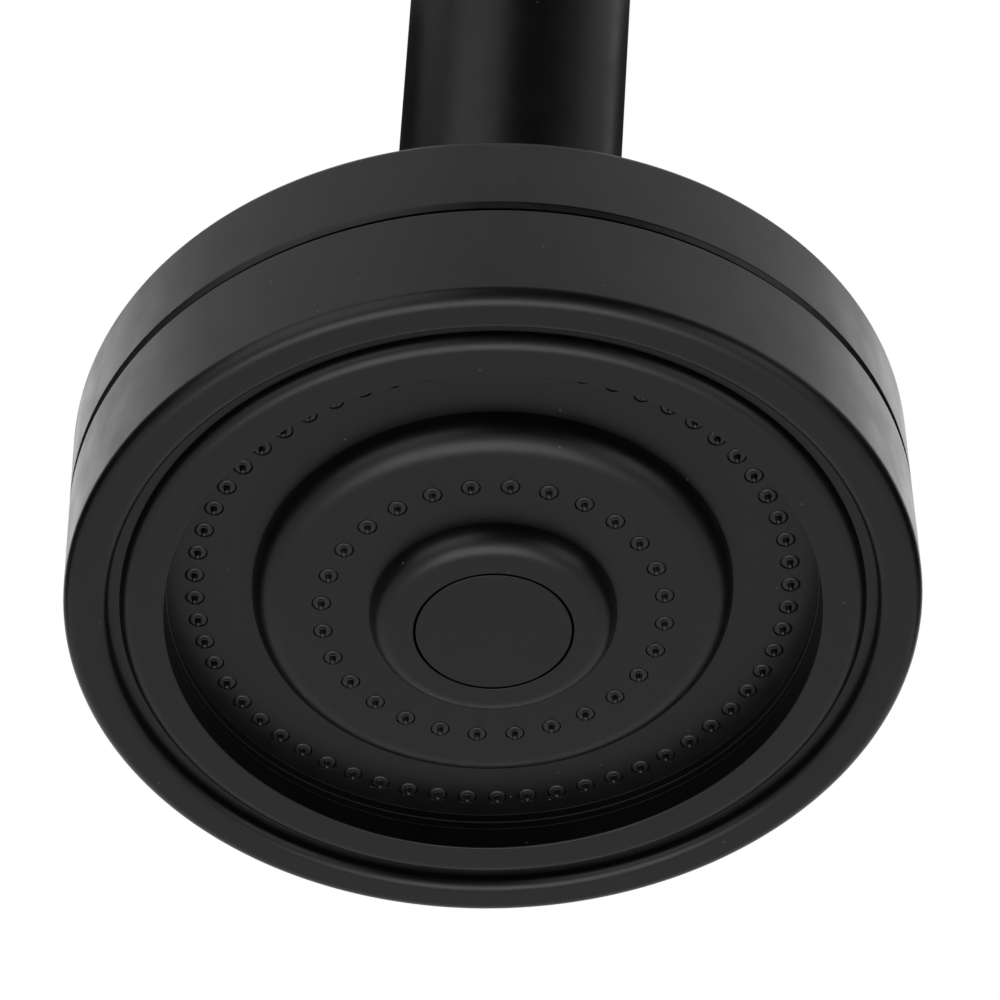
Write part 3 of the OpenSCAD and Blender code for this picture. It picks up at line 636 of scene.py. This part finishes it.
class SHOWER_OT_front_shell(Operator):
    """Outer cup with the rounded rim"""
    bl_idname = "shower.front_shell"
    bl_label = "Front shell"
    seam_edge = 0.12 * MM

    def execute(self, context):
        sizes = head()
        piece = turned("front_shell_turned", [
            (sizes.head_r, -sizes.rim_drop, sizes.rim_outer_round),
            (sizes.rim_inner_r, -sizes.rim_drop, sizes.rim_inner_round),
            (sizes.rim_inner_r, 0, 0),
            (sizes.shell_inner_r, 0, 0),
            (sizes.shell_inner_r, sizes.seam_z, self.seam_edge),
            (sizes.head_r - sizes.front_reveal, sizes.seam_z, self.seam_edge),
            (sizes.head_r, sizes.seam_z - sizes.front_reveal, self.seam_edge),
        ])
        finish_piece(piece, head_frame(), paint(), "head", "front_shell")
        return {"FINISHED"}


class SHOWER_OT_rear_shell(Operator):
    """Back cup with the bevel along the seam"""
    bl_idname = "shower.rear_shell"
    bl_label = "Rear shell"
    socket_r = 13.05 * MM
    spigot_r = 52.75 * MM
    spigot_wall = 2.1 * MM
    spigot_foot = 10.94 * MM
    spigot_top = 17.59 * MM
    seam_edge = 0.08 * MM
    bevel_edge = 0.15 * MM
    socket_edge = 0.1 * MM

    def execute(self, context):
        sizes = head()
        foot = sizes.seam_z + sizes.seam_gap
        inside_z = sizes.back_z - sizes.back_wall
        spigot_bore = self.spigot_r - self.spigot_wall
        piece = turned("rear_shell_turned", [
            (self.socket_r, inside_z, 0),
            (sizes.shell_inner_r, inside_z, 0),
            (sizes.shell_inner_r, self.spigot_top, 0),
            (spigot_bore, self.spigot_top, 0),
            (spigot_bore, self.spigot_foot, 0),
            (self.spigot_r, self.spigot_foot, 0),
            (self.spigot_r, foot, 0),
            (sizes.head_r - sizes.reveal_w, foot, self.seam_edge),
            (sizes.head_r, foot + sizes.reveal_h, self.bevel_edge),
            (sizes.head_r, sizes.back_z, sizes.back_round),
            (self.socket_r, sizes.back_z, self.socket_edge),
        ])
        finish_piece(piece, head_frame(), paint(), "head", "rear_shell")
        return {"FINISHED"}


class SHOWER_OT_face_rings(Operator):
    """Ring in the groove and raised ring round the recess"""
    bl_idname = "shower.face_rings"
    bl_label = "Face rings"
    foot_edge = 0.08 * MM
    inner_edge = 0.25 * MM

    def execute(self, context):
        sizes = head()
        groove = turned("groove_ring_turned", [
            (sizes.face_ring_r + FIT, 0, 0),
            (sizes.plate_r, 0, 0),
            (sizes.plate_r, sizes.groove_ring_h, 0),
            (sizes.face_ring_r + FIT, sizes.groove_ring_h, 0),
        ])
        finish_piece(groove, head_frame(), paint(), "head", "groove_ring")
        raised = turned("face_ring_turned", [
            (sizes.recess_r, sizes.groove_ring_h, self.foot_edge),
            (sizes.recess_r, -sizes.face_ring_drop, self.inner_edge),
            (sizes.face_ring_r, -sizes.face_ring_drop, sizes.face_ring_round),
            (sizes.face_ring_r, sizes.groove_ring_h, 0),
        ])
        finish_piece(raised, head_frame(), paint(), "head", "face_ring")
        return {"FINISHED"}


def dimple_cutter(name, face_z, depth):
    """Cutter of one dimple and its hole, in a face at height face_z with the given thickness behind it."""
    rings = nozzles()
    reach = 1 * MM
    return turned(name, [
        (0, face_z - reach, 0),
        (rings.dimple_r, face_z - reach, 0),
        (rings.dimple_r, face_z, 0),
        (rings.hole_r, face_z + rings.dimple_h, 0),
        (rings.hole_r, face_z + depth + reach, 0),
        (0, face_z + depth + reach, 0),
    ], SMALL_STEPS)


class SHOWER_OT_spray_face(Operator):
    """Recess floor and raised disc, with a dimple round every nozzle"""
    bl_idname = "shower.spray_face"
    bl_label = "Spray face"
    fine_edge = 0.04 * MM

    def execute(self, context):
        sizes = head()
        rings = nozzles()
        back = sizes.recess_h + sizes.floor_h
        lip_r = sizes.recess_r - sizes.lip_w
        lip_z = sizes.recess_h - sizes.lip_h
        plate = turned("spray_plate_turned", [
            (sizes.skirt_r + FIT, sizes.recess_h, 0),
            (lip_r, sizes.recess_h, self.fine_edge),
            (lip_r, lip_z, self.fine_edge),
            (sizes.recess_r, lip_z, 0),
            (sizes.recess_r, sizes.groove_ring_h, self.fine_edge),
            (sizes.plate_r, sizes.groove_ring_h, 0),
            (sizes.plate_r, back, 0),
            (sizes.skirt_r + FIT, back, 0),
        ])
        cutter = dimple_cutter("outer_cutter", sizes.recess_h, sizes.floor_h)
        cut_out(plate, copies_round(cutter, rings.outer_count, rings.outer_ring_r, 0))
        finish_piece(plate, head_frame(), paint(), "head", "spray_plate")

        disc = turned("spray_disc_turned", [
            (sizes.boss_skirt_r + FIT, 0, 0),
            (sizes.disc_r, 0, sizes.disc_round),
            (sizes.disc_r, sizes.recess_h, 0),
            (sizes.skirt_r, sizes.recess_h, 0),
            (sizes.skirt_r, back, 0),
            (sizes.skirt_inner_r, back, 0),
            (sizes.skirt_inner_r, sizes.disc_h, 0),
            (sizes.boss_skirt_r + FIT, sizes.disc_h, 0),
        ])
        cutter = dimple_cutter("inner_cutter", 0, sizes.disc_h)
        half_pitch = math.pi / rings.inner_count
        cut_out(disc, copies_round(cutter, rings.inner_count, rings.inner_ring_r, half_pitch))
        finish_piece(disc, head_frame(), paint(), "head", "spray_disc")
        return {"FINISHED"}


def nozzle_piece(name, face_z, root_z):
    """One nozzle: a low crowned foot that fills its hole, with a fine tapered pin."""
    rings = nozzles()
    mat_overlap = 0.2 * MM
    crown_rise = 0.03 * MM
    shoulder_drop = 0.01 * MM
    tip_edge = 0.3 * MM
    pin_edge = 0.08 * MM
    crown_edge = 0.2 * MM
    foot_edge = 0.05 * MM
    tip_z = face_z - rings.proud
    root = root_z + mat_overlap
    crown_r = 0.62 * rings.foot_r
    shoulder_r = 0.9 * rings.foot_r
    return turned(name, [
        (0, tip_z, 0),
        (rings.tip_r, tip_z, tip_edge),
        (rings.pin_r, face_z, pin_edge),
        (crown_r, face_z - crown_rise, crown_edge),
        (shoulder_r, face_z + shoulder_drop, crown_edge),
        (rings.foot_r, face_z + rings.foot_round, foot_edge),
        (rings.foot_r, root, 0),
        (0, root, 0),
    ], SMALL_STEPS)


class SHOWER_OT_nozzles(Operator):
    """Rubber mats with their rings of nozzles"""
    bl_idname = "shower.nozzles"
    bl_label = "Nozzles"
    outer_mat = (36.0 * MM, 40.8 * MM)
    inner_mat = (14.0 * MM, 26.55 * MM)
    mat_edge = 0.1 * MM

    def mat(self, name, radii, foot):
        low, high = radii
        top = foot + nozzles().mat_h
        return turned(name, [
            (low, foot, 0),
            (high, foot, 0),
            (high, top, self.mat_edge),
            (low, top, self.mat_edge),
        ], MAT_STEPS)

    def ring(self, name, node_name, face_z, root_z, radii, count, ring_r, start):
        pins = copies_round(nozzle_piece(name + "_pins", face_z, root_z), count, ring_r, start)
        piece = joined(name, (self.mat(name, radii, root_z), pins))
        finish_piece(piece, head_frame(), rubber(), "head", node_name)

    def execute(self, context):
        sizes = head()
        rings = nozzles()
        half_pitch = math.pi / rings.inner_count
        self.ring("outer_nozzles_moulded", "outer_nozzles", sizes.recess_h, sizes.recess_h + sizes.floor_h,
                  self.outer_mat, rings.outer_count, rings.outer_ring_r, 0)
        self.ring("inner_nozzles_moulded", "inner_nozzles", 0, sizes.disc_h,
                  self.inner_mat, rings.inner_count, rings.inner_ring_r, half_pitch)
        return {"FINISHED"}


class SHOWER_OT_button(Operator):
    """Domed boss and flush push button"""
    bl_idname = "shower.button"
    bl_label = "Boss and button"
    boss_edge = 0.1 * MM
    button_edge = 0.12 * MM
    stem_sink = 0.5 * MM

    def execute(self, context):
        sizes = head()
        bore = sizes.button_r + sizes.button_gap
        back = sizes.recess_h + sizes.floor_h
        boss = turned("boss_turned", [
            (bore, -sizes.boss_h, self.boss_edge),
            (sizes.boss_r, -sizes.boss_h, sizes.boss_round),
            (sizes.boss_r, 0, 0),
            (sizes.boss_skirt_r, 0, 0),
            (sizes.boss_skirt_r, back, 0),
            (bore, back, 0),
        ])
        finish_piece(boss, head_frame(), paint(), "head", "boss")
        top = -sizes.boss_h + sizes.button_h
        button = turned("push_button_turned", [
            (0, -sizes.boss_h, 0),
            (sizes.button_r, -sizes.boss_h, self.button_edge),
            (sizes.button_r, top, 0),
            (sizes.hub_r, top, 0),
            (sizes.hub_r, top + sizes.hub_h, 0),
            (sizes.stem_hole_r, top + sizes.hub_h, 0),
            (sizes.stem_hole_r, top + self.stem_sink, 0),
            (0, top + self.stem_sink, 0),
        ])
        finish_piece(button, head_frame(), paint(), "button", "push_button")
        return {"FINISHED"}


# The arm's pieces

class SHOWER_OT_arm(Operator):
    """Straight tube with its plain lower end"""
    bl_idname = "shower.arm"
    bl_label = "Arm"
    journal_bore = 7.05 * MM
    pocket_r = 10 * MM
    plug_l = 20 * MM
    journal_l = 13 * MM
    joint_edge = 0.1 * MM
    journal_edge = 0.15 * MM

    def execute(self, context):
        sizes = arm()
        foot = ball_centre().z + sizes.end_lift
        bore = sizes.tube_r - sizes.tube_wall
        tube = turned("arm_tube_turned", [
            (bore, foot + sizes.end_h, 0),
            (sizes.tube_r, foot + sizes.end_h, self.joint_edge),
            (sizes.tube_r, -sizes.end_h, self.joint_edge),
            (bore, -sizes.end_h, 0),
        ])
        finish_piece(tube, arm_frame(), paint(), "arm", "arm_tube")
        end = turned("arm_end_turned", [
            (self.journal_bore, foot, self.journal_edge),
            (sizes.tube_r, foot, sizes.end_round),
            (sizes.tube_r, foot + sizes.end_h, self.joint_edge),
            (bore - FIT, foot + sizes.end_h, 0),
            (bore - FIT, foot + self.plug_l, 0),
            (self.pocket_r, foot + self.plug_l, 0),
            (self.pocket_r, foot + self.journal_l, 0),
            (self.journal_bore, foot + self.journal_l, 0),
        ])
        finish_piece(end, arm_frame(), paint(), "arm", "arm_end")
        return {"FINISHED"}


class SHOWER_OT_rose(Operator):
    """Rose that hides the ceiling plate"""
    bl_idname = "shower.rose"
    bl_label = "Ceiling rose"
    bore_r = 15.5 * MM
    hub_r = 18.9 * MM
    hub_h = 4 * MM
    groove_r = 17.15 * MM
    groove_z = -14.0 * MM
    groove_half = 0.95 * MM
    hub_edge = 0.15 * MM
    top_edge = 0.12 * MM
    wall_round = 0.4 * MM
    hub_round = 0.3 * MM

    def execute(self, context):
        sizes = arm()
        foot = -sizes.rose_h
        floor = foot + sizes.rose_wall
        inner_r = sizes.rose_r - sizes.rose_wall
        rose = turned("cover_rose_turned", [
            (self.bore_r, foot, self.hub_edge),
            (sizes.rose_r, foot, sizes.rose_round),
            (sizes.rose_r, 0, self.top_edge),
            (inner_r, 0, self.top_edge),
            (inner_r, floor, self.wall_round),
            (self.hub_r, floor, self.hub_round),
            (self.hub_r, foot + self.hub_h, self.hub_edge),
            (self.bore_r, foot + self.hub_h, self.hub_edge),
            (self.bore_r, self.groove_z + self.groove_half, 0),
            (self.groove_r, self.groove_z + self.groove_half, 0),
            (self.groove_r, self.groove_z - self.groove_half, 0),
            (self.bore_r, self.groove_z - self.groove_half, 0),
        ])
        finish_piece(rose, arm_frame(), paint(), "arm", "cover_rose", "rose_face")
        return {"FINISHED"}


class SHOWER_OT_finishes(Operator):
    """Finishes of the pieces whose shape comes from the frame as it is"""
    bl_idname = "shower.finishes"
    bl_label = "Finishes"

    def execute(self, context):
        finish_nodes(paint(), ["collar_nut"])
        finish_nodes(brass(), ["valve_stem", "water_cover", "ball_socket", "inlet_end"])
        finish_nodes(steel(), ["button_spring", "cover_screws", "retaining_ring", "strainer",
                               "ceiling_plate", "clamp_screws"])
        finish_nodes(plating(), ["ball_stem"])
        finish_nodes(seal(), ["stem_seal", "valve_washer", "cover_gasket", "journal_seal",
                              "inlet_washer", "rose_seal"])
        finish_nodes(inner_plastic(), ["button_guide", "flow_plate"])
        finish_nodes(bearing_plastic(), ["lower_seat", "upper_seat"])
        finish_nodes(limiter_plastic(), ["flow_limiter"])
        return {"FINISHED"}


# The stage

# Floor: metres across, linear colour and strength of its glow
FLOOR_SIZE = 30
FLOOR_COLOUR = (0.8, 0.8, 0.8)
FLOOR_GLOW = 0.42

# Cards and flag: sides of a full round wall, and linear colours
CARD_SIDES = 36
CARD_COLOUR = (0, 0, 0)
FLAG_COLOUR = (0.05, 0.05, 0.05)

# Width of the camera's sensor in millimetres
SENSOR_WIDTH = 36

# Place, width and height of the panel below in front, in metres
LOW_PANEL = ((-0.1, -0.45, -1.0), 0.9, 0.6)

# Distance of the other panels from the ball's centre. For each: its name, degrees round from the
# camera's side, degrees up, width, height and the setting that holds its radiance
PANEL_DISTANCE = 1.26
PANELS = (
    ("left_panel", -39, 8, 1.25, 1.45, "left_panel"),
    ("right_panel", 76, 30, 1.0, 0.45, "right_panel"),
    ("right_low_panel", 55, -8, 0.75, 0.75, "right_low_panel"),
    ("side_panel_left", -142, 32, 0.9, 0.5, "side_panels"),
    ("side_panel_right", 142, 32, 0.9, 0.5, "side_panels"),
)

# How far round from the camera's side the higher cards reach, and where the flag starts
SIDE_ANGLE = math.radians(118)
FRONT_ANGLE = math.radians(75)
MIDDLE_ANGLE = math.radians(25)
FLAG_ANGLE = math.radians(115)


def camera_side(settings):
    """The level direction to the camera, at its full length."""
    return Vector((settings.camera_place[0], settings.camera_place[1], 0))


def bright_rays(tree):
    """One for camera, glossy and transmission rays, and nought for all others."""
    path = node(tree, "ShaderNodeLightPath", (-800, 300))
    seen = node(tree, "ShaderNodeMath", (-550, 300), operation="MAXIMUM")
    mask = node(tree, "ShaderNodeMath", (-350, 300), operation="MAXIMUM")
    tree.links.new(path.outputs["Is Camera Ray"], seen.inputs[0])
    tree.links.new(path.outputs["Is Glossy Ray"], seen.inputs[1])
    tree.links.new(seen.outputs[0], mask.inputs[0])
    tree.links.new(path.outputs["Is Transmission Ray"], mask.inputs[1])
    return mask.outputs[0]


def area_lamp(name, place, aim, width, height, radiance):
    """A soft panel of the given size. A panel's power is pi times its area times its radiance."""
    bpy.ops.object.light_add(type="AREA", location=place)
    lamp = bpy.context.object
    lamp.name = name
    lamp.data.shape = "RECTANGLE"
    lamp.data.size = width
    lamp.data.size_y = height
    lamp.data.energy = math.pi * width * height * radiance
    lamp.rotation_euler = (Vector(aim) - Vector(place)).to_track_quat("-Z", "Y").to_euler()
    lamp.visible_camera = False


class SHOWER_OT_stage(Operator):
    """Pale floor, white surroundings, soft panels, dark cards and the camera"""
    bl_idname = "shower.stage"
    bl_label = "Stage"

    def floor(self, settings):
        """A pale floor that the camera and reflections see brighter than it is lit."""
        bpy.ops.mesh.primitive_plane_add(size=FLOOR_SIZE, location=(0, 0, settings.floor_z))
        plane = bpy.context.object
        plane.name = "floor"
        material, tree, shader = new_material("Pale floor", FLOOR_COLOUR, roughness=0.9, shine=0.1)
        glow = node(tree, "ShaderNodeEmission", (-200, 200))
        glow.inputs["Strength"].default_value = FLOOR_GLOW
        dark = node(tree, "ShaderNodeEmission", (-200, 50))
        dark.inputs["Strength"].default_value = 0.0
        choose = node(tree, "ShaderNodeMixShader", (50, 150))
        total = node(tree, "ShaderNodeAddShader", (250, 50))
        tree.links.new(bright_rays(tree), choose.inputs["Fac"])
        tree.links.new(dark.outputs[0], choose.inputs[1])
        tree.links.new(glow.outputs[0], choose.inputs[2])
        tree.links.new(choose.outputs[0], total.inputs[0])
        tree.links.new(shader.outputs[0], total.inputs[1])
        tree.links.new(total.outputs[0], tree.nodes["Material Output"].inputs["Surface"])
        plane.data.materials.append(material)

    def surroundings(self, settings):
        """Surroundings that look white and light the object less."""
        world = bpy.data.worlds.new("White surroundings")
        bpy.context.scene.world = world
        world.use_nodes = True
        tree = world.node_tree
        tree.nodes.clear()
        out = node(tree, "ShaderNodeOutputWorld", (600, 0))
        soft = node(tree, "ShaderNodeBackground", (50, 50))
        soft.inputs["Strength"].default_value = settings.fill
        white = node(tree, "ShaderNodeBackground", (50, -100))
        white.inputs["Color"].default_value = (1, 1, 1, 1)
        white.inputs["Strength"].default_value = 1.0
        choose = node(tree, "ShaderNodeMixShader", (350, 0))
        tree.links.new(bright_rays(tree), choose.inputs["Fac"])
        tree.links.new(soft.outputs[0], choose.inputs[1])
        tree.links.new(white.outputs[0], choose.inputs[2])
        tree.links.new(choose.outputs[0], out.inputs["Surface"])

    def direction(self, settings, turn, rise):
        """A direction by its degrees round from the camera's side, to the right, and above the level."""
        flat = camera_side(settings).normalized()
        flat.rotate(Matrix.Rotation(math.radians(turn), 3, "Z"))
        return flat * math.cos(math.radians(rise)) + Vector((0, 0, math.sin(math.radians(rise))))

    def lamps(self, settings):
        """Soft panels: one below in front, and the others round the object."""
        aim = ball_centre()
        low_place, low_width, low_height = LOW_PANEL
        area_lamp("low_panel", low_place, aim, low_width, low_height, settings.low_panel)
        for name, turn, rise, width, height, radiance in PANELS:
            place = aim + self.direction(settings, turn, rise) * PANEL_DISTANCE
            area_lamp(name, place, aim, width, height, getattr(settings, radiance))

    def card_material(self, name, base):
        """A matt card that is clear to the camera."""
        material, tree, shader = new_material(name, base, roughness=1.0, shine=0)
        path = node(tree, "ShaderNodeLightPath", (-300, 300))
        clear = node(tree, "ShaderNodeBsdfTransparent", (-100, 150))
        choose = node(tree, "ShaderNodeMixShader", (350, 100))
        tree.links.new(path.outputs["Is Camera Ray"], choose.inputs["Fac"])
        tree.links.new(shader.outputs[0], choose.inputs[1])
        tree.links.new(clear.outputs[0], choose.inputs[2])
        tree.links.new(choose.outputs[0], tree.nodes["Material Output"].inputs["Surface"])
        return material

    def card_wall(self, settings, name, base, radius, low, high, start, end):
        """A round dark wall between two angles from the camera's side. The camera looks through it."""
        bpy.ops.mesh.primitive_cylinder_add(vertices=CARD_SIDES, radius=radius, depth=high - low,
                                            end_fill_type="NOTHING", location=(0, 0, (low + high) / 2))
        wall = bpy.context.object
        wall.name = name
        front = camera_side(settings)
        mode("EDIT")
        bpy.ops.mesh.select_mode(type="FACE")
        bpy.ops.mesh.select_all(action="DESELECT")
        mesh = bmesh.from_edit_mesh(wall.data)
        for face in mesh.faces:
            flat = Vector((*face.calc_center_median().xy, 0))
            face.select = not start <= flat.angle(front) <= end
        bmesh.update_edit_mesh(wall.data)
        bpy.ops.mesh.delete(type="FACE")
        mode("OBJECT")
        wall.data.materials.append(self.card_material(name, base))
        return wall

    def dark_cards(self, settings):
        """Black cards, higher in front and open behind the object, and a flag at the arm's back."""
        high = settings.cards_high
        cards = self.card_wall(settings, "dark_cards", CARD_COLOUR, settings.cards_r, settings.cards_low,
                               high, 0, math.pi - settings.cards_gap / 2)
        front = camera_side(settings)
        mode("EDIT")
        for wide, top in ((SIDE_ANGLE, settings.cards_side_high),
                          (FRONT_ANGLE, settings.cards_front_high),
                          (MIDDLE_ANGLE, settings.cards_middle_high)):
            pick_vertices(cards, lambda co: co.z > 0 and Vector((co.x, co.y, 0)).angle(front) < wide)
            bpy.ops.transform.translate(value=(0, 0, top - high))
            high = top
        mode("OBJECT")
        self.card_wall(settings, "arm_flag", FLAG_COLOUR, settings.flag_r, settings.flag_low,
                       settings.flag_high, FLAG_ANGLE, math.pi)

    def camera(self, settings):
        bpy.ops.object.camera_add(location=settings.camera_place, rotation=settings.camera_turn)
        camera = bpy.context.object
        camera.data.lens = settings.lens
        camera.data.sensor_width = SENSOR_WIDTH
        camera.data.clip_start = 0.01
        camera.data.clip_end = 50
        bpy.context.scene.camera = camera

    def execute(self, context):
        settings = stage_settings()
        self.floor(settings)
        self.surroundings(settings)
        self.lamps(settings)
        self.dark_cards(settings)
        self.camera(settings)
        context.scene.view_settings.view_transform = "Standard"
        return {"FINISHED"}


PIECE_OPERATORS = (
    SHOWER_OT_stage,
    SHOWER_OT_front_shell,
    SHOWER_OT_rear_shell,
    SHOWER_OT_face_rings,
    SHOWER_OT_spray_face,
    SHOWER_OT_nozzles,
    SHOWER_OT_button,
    SHOWER_OT_arm,
    SHOWER_OT_rose,
    SHOWER_OT_finishes,
)


class SHOWER_PT_pieces(Panel):
    """Lists the pieces in the 3D view's sidebar"""
    bl_idname = "SHOWER_PT_pieces"
    bl_label = "Shower set"
    bl_space_type = "VIEW_3D"
    bl_region_type = "UI"
    bl_category = "Shower"

    def draw(self, context):
        for operator in PIECE_OPERATORS:
            self.layout.operator(operator.bl_idname)
        self.layout.prop(context.scene.shower_finish, "paint")
        self.layout.prop(context.scene.shower_finish, "paint_rough")


SETTINGS = {
    "shower_head": HeadSizes,
    "shower_nozzles": NozzleSizes,
    "shower_arm": ArmSizes,
    "shower_finish": FinishSettings,
    "shower_stage": StageSettings,
}


def register():
    for name, group in SETTINGS.items():
        bpy.utils.register_class(group)
        setattr(bpy.types.Scene, name, PointerProperty(type=group))
    for operator in PIECE_OPERATORS:
        bpy.utils.register_class(operator)
    bpy.utils.register_class(SHOWER_PT_pieces)


def unregister():
    bpy.utils.unregister_class(SHOWER_PT_pieces)
    for operator in reversed(PIECE_OPERATORS):
        bpy.utils.unregister_class(operator)
    for name, group in SETTINGS.items():
        delattr(bpy.types.Scene, name)
        bpy.utils.unregister_class(group)


def main():
    register()
    bpy.ops.shower.stage()
    bpy.ops.shower.front_shell()
    bpy.ops.shower.rear_shell()
    bpy.ops.shower.face_rings()
    bpy.ops.shower.spray_face()
    bpy.ops.shower.nozzles()
    bpy.ops.shower.button()
    bpy.ops.shower.arm()
    bpy.ops.shower.rose()
    bpy.ops.shower.finishes()


if __name__ == "__main__":
    main()
